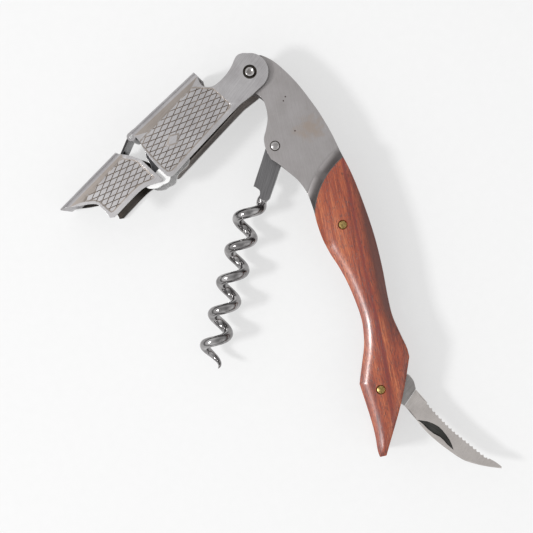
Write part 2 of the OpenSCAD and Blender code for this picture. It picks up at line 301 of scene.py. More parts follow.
def turned_pin(profile, centre, segments):
    """Upright pin, the same above and below; profile is (radius, height over the mid-plane) from the top"""
    profile = profile + [(r, -h) for r, h in reversed(profile)]
    bm = bmesh.new()
    rings = []
    for radius, height in profile:
        around = circle(centre, radius, segments) if radius else [centre]
        rings.append([bm.verts.new((p.x, p.y, MID_Z + height)) for p in around])
    for a, b in zip(rings, rings[1:]):
        for i in range(segments):
            j = (i + 1) % segments
            corners = [a[i % len(a)], a[j % len(a)], b[j % len(b)], b[i % len(b)]]
            bm.faces.new(list(dict.fromkeys(corners)))
    bmesh.ops.recalc_face_normals(bm, faces=bm.faces)
    return bm


def mirrored(bm):
    """Copy of bm on the other side of the mid-plane"""
    twin = bm.copy()
    for v in twin.verts:
        v.co.z = 2 * MID_Z - v.co.z
    bmesh.ops.reverse_faces(twin, faces=twin.faces)
    return twin


def new_object(name, data):
    """Object that shows the data in the scene"""
    made = bpy.data.objects.new(name, data)
    scene.collection.objects.link(made)
    return made


def joined(*parts):
    """One mesh out of several"""
    bm = bmesh.new()
    for part in parts:
        scrap = bpy.data.meshes.new("scrap")
        part.to_mesh(scrap)
        bm.from_mesh(scrap)
        bpy.data.meshes.remove(scrap)
    return bm


def mark_creases(bm, sharp):
    """Smooth faces with creases at sharp edges and all round the level faces"""
    limit = math.radians(sharp)
    bm.normal_update()
    for f in bm.faces:
        f.smooth = True
    for e in bm.edges:
        flatness = sorted(abs(f.normal.z) for f in e.link_faces)
        level_rim = len(flatness) == 2 and flatness[1] > 0.99995 and flatness[0] < 0.9985
        e.smooth = not level_rim and e.calc_face_angle(0) < limit


def make(name, bm, body, materials, stands_for=(), sharp=30):
    """Turns bm into a piece that rides on a body and stands for CAD nodes"""
    mesh = bpy.data.meshes.new(name)
    mark_creases(bm, sharp)
    bmesh.ops.scale(bm, vec=(MM, MM, MM), verts=bm.verts)
    bm.to_mesh(mesh)
    bm.free()
    for m in materials:
        mesh.materials.append(m)
    piece = new_object(name, mesh)
    weighted = piece.modifiers.new("even_shading", "WEIGHTED_NORMAL")
    weighted.mode = "FACE_AREA"
    weighted.keep_sharp = True
    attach(piece, body)
    if stands_for:
        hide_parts(*stands_for)
    return piece


# ---------------- materials

def srgb(red, green, blue):
    """Linear colour from screen values of 0 to 255"""
    def linear(value):
        c = value / 255
        return c / 12.92 if c <= 0.04045 else ((c + 0.055) / 1.055) ** 2.4
    return (linear(red), linear(green), linear(blue), 1)


class Graph:
    """A material's node tree, built up step by step; colours are screen values of 0 to 255"""

    def __init__(self, name, roughness, metallic=1.0, **inputs):
        self.material = bpy.data.materials.new(name)
        self.material.use_nodes = True
        self.tree = self.material.node_tree
        self.shader = self.tree.nodes["Principled BSDF"]
        self.feed(self.shader, Roughness=roughness, Metallic=metallic, **inputs)

    def put(self, value, socket):
        """Gives a socket a number, a colour or another node's output"""
        if isinstance(value, bpy.types.NodeSocket):
            self.tree.links.new(value, socket)
        else:
            socket.default_value = srgb(*value) if socket.type == "RGBA" else value

    def feed(self, node, **inputs):
        """Fills a node's inputs by name, with an underscore for a space"""
        for key, value in inputs.items():
            self.put(value, node.inputs[key.replace("_", " ")])
        return node

    def add(self, kind, **settings):
        made = self.tree.nodes.new(kind)
        for key, value in settings.items():
            setattr(made, key, value)
        return made

    def space(self, turn=0.0, scale=(1, 1, 1), shift=(0, 0, 0)):
        """Object coordinates in millimetres, turned about Z, then stretched"""
        coords = self.add("ShaderNodeTexCoord").outputs["Object"]
        spin = self.feed(self.add("ShaderNodeMapping"), Vector=coords, Scale=(1 / MM, 1 / MM, 1 / MM),
                         Rotation=(0, 0, math.radians(-turn)))
        stretch = self.feed(self.add("ShaderNodeMapping"), Vector=spin.outputs["Vector"],
                            Scale=scale, Location=shift)
        return stretch.outputs["Vector"]

    def even(self, scale):
        """Object coordinates stretched the same way in all directions"""
        return self.space(scale=(scale, scale, scale))

    def noise(self, vector, detail=3.0, roughness=0.5, distortion=0.0):
        made = self.feed(self.add("ShaderNodeTexNoise"), Vector=vector, Scale=1, Detail=detail,
                         Roughness=roughness, Distortion=distortion)
        return made.outputs["Fac"]

    def cells(self, vector):
        made = self.feed(self.add("ShaderNodeTexVoronoi"), Vector=vector, Scale=1)
        return made.outputs["Distance"]

    def ramp(self, value, *stops):
        """Colour ramp through (position, colour) stops"""
        made = self.add("ShaderNodeValToRGB")
        points = made.color_ramp.elements
        while len(points) < len(stops):
            points.new(0.5)
        for point, (position, colour) in zip(points, stops):
            point.position = position
            point.color = srgb(*colour)
        self.feed(made, Fac=value)
        return made.outputs["Color"]

    def levels(self, value, low, high, to_low=0.0, to_high=1.0):
        """Maps low..high to to_low..to_high, held at the ends"""
        made = self.feed(self.add("ShaderNodeMapRange", clamp=True), Value=value, From_Min=low,
                         From_Max=high, To_Min=to_low, To_Max=to_high)
        return made.outputs["Result"]

    def maths(self, operation, a, b):
        made = self.add("ShaderNodeMath", operation=operation)
        self.put(a, made.inputs[0])
        self.put(b, made.inputs[1])
        return made.outputs["Value"]

    def mix(self, factor, a, b):
        made = self.add("ShaderNodeMix", data_type="RGBA")
        colours = [socket for socket in made.inputs if socket.type == "RGBA"]
        self.put(factor, made.inputs[0])
        self.put(a, colours[0])
        self.put(b, colours[1])
        return next(socket for socket in made.outputs if socket.type == "RGBA")

    def near(self, at, radius, soft, wobble=None):
        """1 within radius of a point of the plan, fading to 0 over soft millimetres"""
        gap = self.add("ShaderNodeVectorMath", operation="DISTANCE")
        self.put(self.space(scale=(1, 1, 0)), gap.inputs[0])
        self.put((at[0], at[1], 0), gap.inputs[1])
        value = gap.outputs["Value"]
        if wobble is not None:
            value = self.maths("ADD", value, wobble)
        return self.levels(value, radius, radius + soft, 1, 0)

    def part(self, vector, axis):
        return self.feed(self.add("ShaderNodeSeparateXYZ"), Vector=vector).outputs[axis]

    def bump(self, height, distance, strength=1.0):
        """Relief with a depth in millimetres"""
        made = self.feed(self.add("ShaderNodeBump"), Height=height, Distance=distance * MM,
                         Strength=strength)
        self.feed(self.shader, Normal=made.outputs["Normal"])

    def finish(self, colour, roughness=None):
        self.feed(self.shader, Base_Color=colour)
        if roughness is not None:
            self.feed(self.shader, Roughness=roughness)
        return self.material


# The lever pivot's distance from the origin, across the lever
LEVER_PIVOT_ACROSS = LEVER_PIVOT.dot(ACROSS_LEVER.to_2d())
# Bent edge of a lever's sheet and where its painted shade ends, across the lever from its pivot
FOLD_EDGE = -11.8
FOLD_INNER = -9.6
# Brown stain and tiny pits of the side plates, and the shade on the foot of the bolster
STAIN_AT = (0.6, 40.2)
STAIN_R = 1.2
STAIN_SOFT = 3.2
PITS = ((-2.9, 50.7), (-3.8, 49.8), (-3.5, 40.9), (-5.6, 63.6))
PIT_R = 0.13
PIT_SOFT = 0.14
FOOT_R = JOINT_R + 1.4
FOOT_SOFT = 2.2


def brushed_steel(name, dark, light, turn, rough=(0.3, 0.46), scratch=0.004, stains_and_shade=False,
                  bend_shade=False):
    """Satin steel, brushed one way; the plates get a stain, pits and painted shade on the bolster's foot,
    and the levers get painted shade along their bent edge
    """
    g = Graph(name, roughness=0.38)
    brushing = g.noise(g.space(turn, (0.22, 7, 7)), detail=4, roughness=0.65)
    clouds = g.noise(g.even(0.16), detail=4, roughness=0.6)
    hairs = g.noise(g.space(turn + 9, (0.09, 3.1, 3.1), (5, 3, 0)), detail=2)
    tone = g.maths("ADD", g.maths("MULTIPLY", brushing, 0.45), g.maths("MULTIPLY", clouds, 0.55))
    colour = g.ramp(tone, (0.36, dark), (0.64, light))
    colour = g.mix(g.levels(hairs, 0.66, 0.74, 0, 0.35), colour, light)
    if stains_and_shade:
        ragged = g.levels(g.noise(g.even(0.5), detail=4), 0.2, 0.8, -3, 3)
        stain = g.maths("MULTIPLY", g.near(STAIN_AT, STAIN_R, STAIN_SOFT, ragged), 0.42)
        colour = g.mix(stain, colour, (168, 148, 130))
        for at in PITS:
            colour = g.mix(g.near(at, PIT_R, PIT_SOFT), colour, (70, 58, 56))
        # Painted shade on the foot of the bolster
        foot = g.near(JOINT_CENTRE, FOOT_R, FOOT_SOFT)
        colour = g.mix(g.maths("MULTIPLY", foot, 0.85), colour, (104, 99, 98))
    if bend_shade:
        # Painted shade along the levers' bent edge
        above_pivot = g.maths("SUBTRACT", g.part(g.space(LEVER_DIR), "Y"), LEVER_PIVOT_ACROSS)
        bend_shade_mask = g.levels(above_pivot, FOLD_EDGE, FOLD_INNER, 0.4, 0)
        colour = g.mix(bend_shade_mask, colour, (134, 131, 134))
    g.bump(brushing, scratch)
    return g.finish(colour, g.levels(tone, 0.3, 0.7, rough[1], rough[0]))


def groove_shade_steel():
    """Bottom of the engraved lines, darkened as painted shade"""
    g = Graph("groove_shade_steel", roughness=0.6)
    mottle = g.noise(g.even(1.4))
    return g.finish(g.ramp(mottle, (0.3, (96, 86, 78)), (0.7, (140, 128, 118))))


def channel_shade_steel():
    """Inner face of the bent sheets, painted near black as the shade inside the channel"""
    g = Graph("channel_shade_steel", roughness=0.5)
    cloud = g.noise(g.even(0.3), detail=4, roughness=0.6)
    streak = g.noise(g.space(LEVER_DIR, (0.15, 2.5, 2.5)))
    colour = g.ramp(cloud, (0.35, (42, 40, 38)), (0.6, (68, 65, 62)))
    colour = g.mix(g.levels(streak, 0.5, 0.7, 0, 0.5), colour, (96, 82, 72))
    g.bump(streak, 0.01)
    return g.finish(colour, g.levels(cloud, 0.3, 0.7, 0.62, 0.42))


def mirror_steel(name, low, high):
    """Polished steel with faint swirl marks"""
    g = Graph(name, roughness=0.14)
    swirl = g.noise(g.even(1.1), detail=5, roughness=0.6, distortion=0.8)
    g.bump(swirl, 0.006)
    colour = g.ramp(swirl, (0.3, low), (0.7, high))
    return g.finish(colour, g.levels(swirl, 0.3, 0.7, 0.1, 0.24))


def dark_steel():
    """Grey washers, bushes and sleeves inside the slot"""
    g = Graph("dark_steel", roughness=0.42)
    turning = g.noise(g.space(scale=(0.8, 0.8, 9)))
    g.bump(turning, 0.01)
    colour = g.ramp(turning, (0.35, (92, 92, 94)), (0.65, (132, 132, 134)))
    return g.finish(colour, g.levels(turning, 0.3, 0.7, 0.5, 0.34))


def worm_nickel():
    """Dark bright nickel with fine drawing marks along the wire"""
    g = Graph("worm_nickel", roughness=0.12)
    marks = g.noise(g.space(WORM_DIR, (0.5, 2.2, 2.2)), detail=4, roughness=0.6, distortion=0.4)
    smudge = g.noise(g.even(0.35))
    g.bump(marks, 0.006)
    colour = g.ramp(smudge, (0.35, (126, 124, 124)), (0.65, (172, 170, 170)))
    return g.finish(colour, g.levels(marks, 0.35, 0.65, 0.07, 0.2))


def tang_nickel():
    """Flattened tang of the worm, ground lengthways"""
    g = Graph("tang_nickel", roughness=0.34)
    marks = g.noise(g.space(WORM_DIR, (0.16, 5, 5)), detail=4, roughness=0.6)
    g.bump(marks, 0.005)
    colour = g.ramp(marks, (0.3, (96, 95, 96)), (0.7, (136, 135, 136)))
    return g.finish(colour, g.levels(marks, 0.3, 0.7, 0.42, 0.28))


def hammered_brass():
    """Brass pin head with flats left by the riveting hammer"""
    g = Graph("hammered_brass", roughness=0.3)
    facets = g.cells(g.even(1.1))
    mottle = g.noise(g.even(2.2))
    colour = g.ramp(mottle, (0.3, (122, 100, 58)), (0.7, (190, 164, 106)))
    g.bump(facets, 0.12)
    return g.finish(colour, g.levels(mottle, 0.3, 0.7, 0.42, 0.22))


# Direction of the wood's grain, and places in its frame: a dark band, the painted shade on the right side,
# the tail
GRAIN_DIR = -8
BAND_X = 2.4
SIDE_SHADE_X = (3.2, 5.4)
TAIL_Y = (-26, -12)


def rosewood():
    """Oiled reddish wood: long streaks, fine grain, short dark pores, one dark band and painted shade on
    its right side
    """
    g = Graph("rosewood", roughness=0.34, metallic=0.0, Coat_Weight=0.9, Coat_Roughness=0.24,
              IOR=1.5)
    wave = g.noise(g.space(GRAIN_DIR, (0.05, 0.018, 0.05)), detail=2)
    streaks = g.noise(g.space(GRAIN_DIR, (0.5, 0.03, 0.3)), roughness=0.6, distortion=0.6)
    grain = g.noise(g.space(GRAIN_DIR, (4.6, 0.22, 2.2)), detail=4, roughness=0.7, distortion=0.3)
    pores = g.noise(g.space(GRAIN_DIR, (6, 0.8, 4)), detail=2)
    tone = g.maths("ADD", g.maths("MULTIPLY", streaks, 0.46), g.maths("MULTIPLY", grain, 0.54))
    colour = g.ramp(tone, (0.37, (80, 20, 8)), (0.45, (130, 46, 20)),
                    (0.53, (157, 73, 38)), (0.61, (188, 108, 66)))
    colour = g.mix(g.levels(wave, 0.42, 0.6, 0, 0.25), colour, (172, 86, 52))
    place = g.space(GRAIN_DIR)
    across = g.maths("ADD", g.part(place, "X"), g.levels(wave, 0.2, 0.8, -1.6, 1.6))
    band = g.maths("ABSOLUTE", g.maths("SUBTRACT", across, BAND_X), 0)
    colour = g.mix(g.levels(band, 0.15, 0.9, 0.85, 0), colour, (112, 30, 22))
    above_tail = g.levels(g.part(place, "Y"), *TAIL_Y)
    # Painted shade on the right side, above the tail
    side_shade = g.maths("MULTIPLY", g.levels(across, *SIDE_SHADE_X, 0, 0.85), above_tail)
    colour = g.mix(side_shade, colour, (66, 18, 6))
    colour = g.mix(g.levels(pores, 0.56, 0.65, 0, 0.8), colour, (74, 26, 16))
    g.bump(g.maths("SUBTRACT", grain, g.levels(pores, 0.6, 0.7)), 0.03, 0.6)
    return g.finish(colour, g.levels(grain, 0.3, 0.7, 0.46, 0.3))


FLOOR_GLOW = 0.55


def floor_paper():
    """Pale grey floor that glows a little, so that shadows stay soft"""
    g = Graph("floor_paper", roughness=0.9, metallic=0.0)
    fibre = g.noise(g.even(0.4), detail=4)
    g.feed(g.shader, Emission_Color=(255, 255, 255), Emission_Strength=FLOOR_GLOW)
    return g.finish(g.ramp(fibre, (0.2, (149, 149, 149)), (0.8, (152, 152, 152))))


PLATE_STEEL = brushed_steel("plate_steel", (156, 152, 151), (184, 180, 180), 84,
                            stains_and_shade=True)
RAMP_STEEL = brushed_steel("ramp_steel", (120, 116, 114), (150, 146, 144), 70)
LEVER_STEEL = brushed_steel("lever_steel", (164, 161, 162), (206, 204, 205), LEVER_DIR + 6,
                            rough=(0.28, 0.42), bend_shade=True)
BLADE_STEEL = brushed_steel("blade_steel", (190, 184, 180), (220, 214, 210), KNIFE_DIR + 82,
                            rough=(0.26, 0.42), scratch=0.006)
SHADED_STEEL = brushed_steel("shaded_steel", (58, 58, 60), (92, 92, 94), LEVER_DIR,
                             rough=(0.2, 0.34))
RIM_STEEL = brushed_steel("rim_steel", (150, 143, 138), (190, 184, 180), LEVER_DIR)
RECESS_SHADE_STEEL = brushed_steel("recess_shade_steel", (52, 47, 43), (86, 80, 74), 0)
TANG_STEEL = brushed_steel("tang_steel", (134, 130, 128), (184, 180, 178), KNIFE_DIR + 84)
FAINT_SHADE_STEEL = brushed_steel("faint_line_shade_steel", (142, 134, 128), (170, 162, 156), LEVER_DIR)
HIGHLIGHT_STEEL = brushed_steel("highlight_steel", (236, 235, 234), (248, 248, 248), LEVER_DIR,
                          rough=(0.34, 0.5))
NICK_SHADE_STEEL = brushed_steel("nick_shade_steel", (52, 52, 50), (92, 92, 90), KNIFE_DIR)
GROOVE_SHADE_STEEL = groove_shade_steel()
CHANNEL_SHADE_STEEL = channel_shade_steel()
MIRROR_STEEL = mirror_steel("mirror_steel", (206, 205, 204), (236, 236, 236))
PIN_STEEL = mirror_steel("pin_steel", (160, 157, 156), (196, 193, 192))
DARK_STEEL = dark_steel()
WORM_NICKEL = worm_nickel()
TANG_NICKEL = tang_nickel()
BRASS = hammered_brass()
WOOD = rosewood()


# ---------------- handle

# Radii between which the bolster rises from the plate to the wood, and how hollow it is
RAMP_IN = JOINT_R + 0.2
RAMP_OUT = JOINT_R + 3.0
RAMP_CURVE = 1.7
PLATE_ROUND = 0.16


def crisp(node, width, segments=2):
    """CAD node with small rounded edges"""
    bm = cad_copy(node)
    round_edges(bm, width, segments)
    return bm


def ramp_place(v):
    """How far a vertex is up the bolster, from 0 at its foot to 1 at the wood, or None elsewhere"""
    height = abs(v.co.z - MID_Z)
    radius = (v.co.to_2d() - JOINT_CENTRE).length
    if height < PLATE_HALF - 0.02 or not RAMP_IN - 0.1 < radius < RAMP_OUT + 0.1:
        return None
    return clamp((RAMP_OUT - radius) / (RAMP_OUT - RAMP_IN))


def hollow_ramp(bm):
    """Turns the straight bolster into a concave one that runs out smoothly into the plate"""
    rungs = [e for e in bm.edges if None not in [ramp_place(v) for v in e.verts]
             and abs(e.verts[0].co.z - e.verts[1].co.z) > 1]
    bmesh.ops.subdivide_edges(bm, edges=rungs, cuts=7, use_grid_fill=True)
    for v in bm.verts:
        place = ramp_place(v)
        if place is not None and abs(v.co.z - MID_Z) > PLATE_HALF + 0.02:
            rise = (BODY_HALF - PLATE_HALF) * place ** RAMP_CURVE
            v.co.z = MID_Z + math.copysign(PLATE_HALF + rise, v.co.z - MID_Z)


def plates():
    """Steel side plates with their hollow bolsters"""
    for side in ("front", "back"):
        bm = cad_copy(side + "_plate")
        hollow_ramp(bm)
        round_edges(bm, PLATE_ROUND, 2, 40)
        make(side + "_side_plate", bm, "handle", [PLATE_STEEL], [side + "_plate"])


# Widths and depths of the wood's bevels; the right one widens upwards to twice its width
LEFT_BEVEL = 3.2
LEFT_DROP = 1.15
RIGHT_BEVEL = 1.7
RIGHT_DROP = 0.75
WIDENS_FROM = -22
WIDENS_OVER = 14
# Crown of the wood, which runs out near the curved joint, and the pockets of the brass pins
SCALE_CROWN = 0.3
CROWN_REACH = 6.5
JOINT_FROM_Y = 8
JOINT_FADE = 5
JOINT_SHARE = 0.12
SUNK = 0.02
POCKET_DEPTH = 0.5
POCKET_CLEAR = 0.02
POCKET_WALL = 0.12


def wood_scales():
    """Crowned wood with a bevel along its free edges, level with the steel at the curved joint"""
    rim = outlines("front_scale", BODY_TOP)[0]
    ring = closed(rim)

    def on_joint(p):
        return abs((p - JOINT_CENTRE).length - JOINT_R) < 0.06

    free_edges = [[a, b] for a, b in zip(ring, ring[1:]) if not (on_joint(a) and on_joint(b))]
    turn = winding(rim)
    reach = Nearest(free_edges)
    left = Nearest([[a, b] for a, b in free_edges if turn * (b - a).y < 0])
    right = Nearest([[a, b] for a, b in free_edges if turn * (b - a).y >= 0])

    def top(p):
        gap = reach(p)
        to_joint = JOINT_R - (Vector(p) - JOINT_CENTRE).length
        shaped = 1 if p[1] < JOINT_FROM_Y else ease(to_joint / JOINT_FADE)
        share = JOINT_SHARE + (1 - JOINT_SHARE) * shaped
        wide = RIGHT_BEVEL * (1 + ease((p[1] - WIDENS_FROM) / WIDENS_OVER))
        bevel = max(LEFT_DROP * (1 - clamp(left(p) / LEFT_BEVEL)) ** 2,
                    RIGHT_DROP * (1 - clamp(right(p) / wide)) ** 2)
        crown = SCALE_CROWN * (1 - ease(gap / CROWN_REACH))
        to_pin = min((Vector(p) - at).length for at in (SCALE_PIN, KNIFE_PIVOT))
        pocket = POCKET_DEPTH * (1 - ease((to_pin - BRASS_R - POCKET_CLEAR) / POCKET_WALL))
        return BODY_TOP - SUNK - (bevel + crown) * share - pocket

    rows = (0.12, 0.35, 0.7, 1.1, 1.45, 1.75, 2.2, 2.8)
    points = rows_inside(rim, rows, 0.55) + hex_grid(rim, 0.75, 3.1)
    for at in (SCALE_PIN, KNIFE_PIVOT):
        points = [p for p in points if (p - at).length > BRASS_R + 0.35]
        for beyond in (-0.1, 0.02, 0.08, 0.16, 0.3):
            points += circle(at, BRASS_R + beyond, 28)
    front = slab_between([rim], points, [], top, lambda p: PLATE_TOP)
    back = mirrored(front)
    make("front_wood_scale", front, "handle", [WOOD], ["front_scale"], 40)
    make("back_wood_scale", back, "handle", [WOOD], ["back_scale"], 40)


# Brass heads, from the centre outwards as (radius, height over the wood), and the hammer's dents
BRASS_CROWN = ((0, -0.02), (0.5, -0.04), (0.85, -0.1), (1.08, -0.2), (BRASS_R, -0.36))
DENT_DEPTH = 0.05
DENT_SCALE = (1.3, 1.3, 0.2)


def brass_pins():
    """Riveted pins through the wood, slightly domed and dented"""
    for name, at in (("scale_pin", SCALE_PIN), ("knife_pivot_pin", KNIFE_PIVOT)):
        bm = turned_pin([(r, BODY_HALF + h) for r, h in BRASS_CROWN], at, 40)
        for v in bm.verts:
            dent = noise.noise(v.co * Vector(DENT_SCALE))
            v.co.z += DENT_DEPTH * dent * (1 if v.co.z > MID_Z else -1)
        make(name + "_brass", bm, "handle", [BRASS], [name])


def slot_parts():
    """Spacers, dowels, bushes and washers between and beside the plates"""
    make("flush_dowels", cad_copy("spacer_dowels"), "handle", [PLATE_STEEL],
         ["spacer_dowels"])
    for node in ("spine_spacer", "tail_spacer"):
        make(node + "_steel", crisp(node, 0.05), "handle", [PLATE_STEEL], [node])
    for node in ("worm_bush_front", "worm_bush_back", "knife_bush_front", "knife_bush_back",
                 "lever_pivot_sleeve", "lever_washer_front", "lever_washer_back"):
        make(node + "_ring", crisp(node, 0.08), "handle", [DARK_STEEL], [node])


# Button of the lever's pivot, from its dished centre over its rim, as (radius, height over the wood)
BUTTON = ((0, -0.17), (0.5, -0.16), (0.78, -0.1), (0.9, -0.02), (1.05, 0), (1.22, -0.08),
          (1.36, -0.3), (1.38, -0.7))
BUTTON_RIM = 0.45
DISH_R = 0.72
SHOULDER_R = 1.9
SHOULDER = CHEEK_INSIDE - MID_Z + 0.12


def lever_pivot():
    """Pivot pin: a shoulder sunk in the lever's hole, painted dark as shade, and a raised button with a
    rounded rim
    """
    profile = [(r, BODY_HALF + h) for r, h in BUTTON]
    profile += [(BUTTON[-1][0], SHOULDER), (SHOULDER_R, SHOULDER - 0.02)]
    bm = turned_pin(profile, LEVER_PIVOT, 64)
    # The sunk shoulder takes the dark recess steel and the dished centre darker steel: painted shade
    for f in bm.faces:
        centre = f.calc_center_median()
        if abs(centre.z - MID_Z) < BODY_HALF - BUTTON_RIM:
            f.material_index = 1
        elif (centre.to_2d() - LEVER_PIVOT).length < DISH_R:
            f.material_index = 2
    make("lever_pivot_button", bm, "handle", [PIN_STEEL, RECESS_SHADE_STEEL, RAMP_STEEL],
         ["lever_pivot_pin"])


# Low dome of the worm's pivot and the ring round its foot, painted dark as shade
DOME_R = 1.3
DOME_RISE = 0.5
DOME_STEPS = 8
RING_FROM = 1.22
RING_R = 1.44
WORM_PIN_R = 1.05


def worm_pin():
    """Worm pivot pin with a low polished dome on each side"""
    profile = []
    for i in range(DOME_STEPS + 1):
        a = math.pi / 2 * i / DOME_STEPS
        profile.append((DOME_R * math.sin(a), PLATE_HALF + 0.02 + DOME_RISE * math.cos(a)))
    profile += [(RING_R, PLATE_HALF + 0.03), (RING_R, PLATE_HALF), (WORM_PIN_R, PLATE_HALF - 0.02)]
    bm = turned_pin(profile, WORM_PIVOT, 48)
    # The ring round the foot takes the dark recess steel: painted shade
    for f in bm.faces:
        if (f.calc_center_median().to_2d() - WORM_PIVOT).length > RING_FROM:
            f.material_index = 1
    make("worm_pivot_rivet", bm, "handle", [PIN_STEEL, RECESS_SHADE_STEEL],
         ["worm_pivot_pin"])


# ---------------- levers

KNURL_PITCH = 1.425
GROOVE_HALF = 0.12
GROOVE_DEPTH = 0.08
# The engraving gets fainter towards the lower edge, over this height and down to this share
GROOVE_FADE = 2.2
GROOVE_FAINT = 0.25
PANEL_DROP = 0.035
PANEL_SLOPE = 0.42

# Places of a lever's materials in its list
PLAIN, GROOVE, INNER, RIM, FAINT = range(5)

# Knurled panels and the plain mark, in the levers' frame
UPPER_PANEL = [(10.1, -4.2), (10.1, 2.1), (10.8, 2.75), (34.9, 2.75), (35.75, 2), (35.95, -0.2),
               (35.8, -4), (35.5, -7), (35.2, -9.7), (28.2, -9.6), (20, -9.4), (14, -9),
               (13.1, -8.2), (12.2, -7), (11.5, -6), (10.7, -5.2)]
LOWER_PANEL = [(42.2, -10.3), (41.4, -9.9), (39.6, -7.2), (39.25, -6.2), (39.25, 0.5), (40.6, 0.1),
               (42.2, -0.75), (44.2, -1.35), (47.2, -1.55), (54.8, -1.65), (54.95, -3.6), (54.95, -6.2),
               (55.6, -7.6), (57.2, -9.1), (58.8, -10.3)]
MARK = [(25.6, -3), (28.2, -4.7), (30.9, -3), (28.2, -1.3)]
SHEET_ROUND = 0.22
# The claw's lips lie below this line of the lever's frame and stick out past the cheeks
LIP_FROM = -0.6


def groove_lines(panel, holes, angles):
    """Both families of engraved lines, each as a middle and two edges, cut to the panel"""
    origin = panel[0]
    points = []
    edges = []
    centres = []
    for angle in angles:
        normal = Vector((math.cos(angle), math.sin(angle)))
        along = Vector((-normal.y, normal.x))
        spread = [(p - origin).dot(normal) for p in panel]
        first = math.ceil(min(spread) / KNURL_PITCH)
        last = math.floor(max(spread) / KNURL_PITCH)
        for k in range(first, last + 1):
            for side in (-1, 0, 1):
                foot = origin + normal * (k * KNURL_PITCH + side * GROOVE_HALF)
                for a, b in pieces_inside(foot, along, [panel] + holes):
                    edges.append((len(points), len(points) + 1))
                    points += [a, b]
                    if side == 0:
                        centres.append([a, b])
    return points, edges, centres


def pieces_inside(foot, along, loops):
    """Stretches of a straight line that lie inside the loops"""
    cuts = []
    for loop in loops:
        for a, b in zip(loop, closed(loop)[1:]):
            span = b - a
            cross = along.cross(span)
            if abs(cross) < 1e-9:
                continue
            t = (a - foot).cross(span) / cross
            s = (a - foot).cross(along) / cross
            if 0 <= s < 1:
                cuts.append(t)
    cuts.sort()
    return [(foot + along * a, foot + along * b) for a, b in zip(cuts[::2], cuts[1::2]) if b - a > 0.05]


def shrunk(loop, distance):
    """Loop moved inwards by a small distance"""
    turn = winding(loop)
    out = []
    for i in range(len(loop)):
        before = (loop[i] - loop[i - 1]).normalized()
        after = (loop[(i + 1) % len(loop)] - loop[i]).normalized()
        normal = turn * (Vector((-before.y, before.x)) + Vector((-after.y, after.x)))
        normal.normalize()
        side = turn * Vector((-before.y, before.x))
        out.append(loop[i] + normal * distance / max(0.5, normal.dot(side)))
    return out


def knurl(bm, panel, marks, angles, fade_from):
    """Replaces both flat cheeks of a lever with engraved ones"""
    slope_foot = shrunk(panel, PANEL_SLOPE)
    mark_tops = [shrunk(m, PANEL_SLOPE) for m in marks]
    points, edges, centres = groove_lines(panel, marks, angles)
    lines = [(c[0], (c[1] - c[0]).normalized()) for c in centres]
    for loop in [panel, slope_foot] + marks + mark_tops:
        edges += loop_edges(len(points), len(loop))
        points += loop
    to_rim = Nearest([closed(panel)])
    to_mark = Nearest([closed(m) for m in marks]) if marks else None
    lever_inverse = AT_LEVER.inverted()

    def depth(p):
        p = Vector(p)
        if not inside(p, [panel]):
            return 0.0
        if any(inside(p, [m]) for m in marks):
            return PANEL_DROP * (1 - clamp(to_mark(p) / PANEL_SLOPE))
        down = clamp(to_rim(p) / PANEL_SLOPE)
        gap = min(abs((p - foot).cross(along)) for foot, along in lines)
        groove = GROOVE_DEPTH * (1 - clamp(gap / GROOVE_HALF))
        height = (lever_inverse @ p.to_3d()).y
        strength = GROOVE_FAINT + (1 - GROOVE_FAINT) * ease((height - fade_from) / GROOVE_FADE)
        mark_gap = clamp(to_mark(p) / 0.1) if to_mark else 1
        return down * (PANEL_DROP + groove * strength * mark_gap)

    for up in (1, -1):
        level = MID_Z + up * (CHEEK_TOP - MID_Z)
        rims = opened(bm, level, up)

        # Grooves take dark steel, and faint grooves and the panel's slope take a lighter dark steel:
        # painted shade
        def shade(face):
            low = sum(abs(v.co.z - level) for v in face.verts) / len(face.verts)
            cut = (low - PANEL_DROP) / GROOVE_DEPTH
            on_slope = 0.15 < low / PANEL_DROP < 0.85
            if cut > 0.2:
                return GROOVE
            return FAINT if cut > 0.05 or on_slope else PLAIN

        fill_rims(bm, rims, points, edges, lambda p: level - up * depth(p), up, shade)


def press_inside(bm, panel, rim_index):
    """Inner faces of the cheeks: the back of the pressed panel stands up from its rim"""
    slope_foot = shrunk(panel, PANEL_SLOPE)
    points = panel + slope_foot
    edges = loop_edges(0, len(panel)) + loop_edges(len(panel), len(slope_foot))
    to_rim = Nearest([closed(panel)])
    for up in (1, -1):
        level = MID_Z - up * (CHEEK_INSIDE - MID_Z)
        rims = opened(bm, level, up)

        def height(p):
            rise = clamp(to_rim(p) / PANEL_SLOPE) if inside(p, [panel]) else 0
            return level + up * PANEL_DROP * rise

        # The pressed panel's back takes the near-black channel steel, painted shade; on the lower lever the
        # rim takes it too
        def shade(face):
            in_panel = inside(face.calc_center_median().to_2d(), [slope_foot])
            return INNER if in_panel else rim_index

        fill_rims(bm, rims, points, edges, height, up, shade)


def levers():
    """Two bent-sheet levers with knurled cheeks and rounded edges"""
    finish = [LEVER_STEEL, GROOVE_SHADE_STEEL, CHANNEL_SHADE_STEEL, RIM_STEEL, FAINT_SHADE_STEEL]
    # piece, body, panel, marks, slants of the lines, where they are faintest, inner rim
    jobs = (("upper_lever", "upper_arm", UPPER_PANEL, [MARK], (17.2, -26.2), -9.4, RIM),
            ("lower_lever", "lower_arm", LOWER_PANEL, [], (19.7, -23.7), -10.8, INNER))
    for node, body, panel, marks, angles, fade_from, inner_rim in jobs:
        bm = crisp(node, SHEET_ROUND, 5)
        directions = [math.radians(LEVER_DIR + 90 + a) for a in angles]
        placed_panel = to_row(AT_LEVER, panel)
        knurl(bm, placed_panel, [to_row(AT_LEVER, m) for m in marks], directions, fade_from)
        press_inside(bm, placed_panel, inner_rim)
        make(node + "_sheet", bm, body, finish, [node], 20)


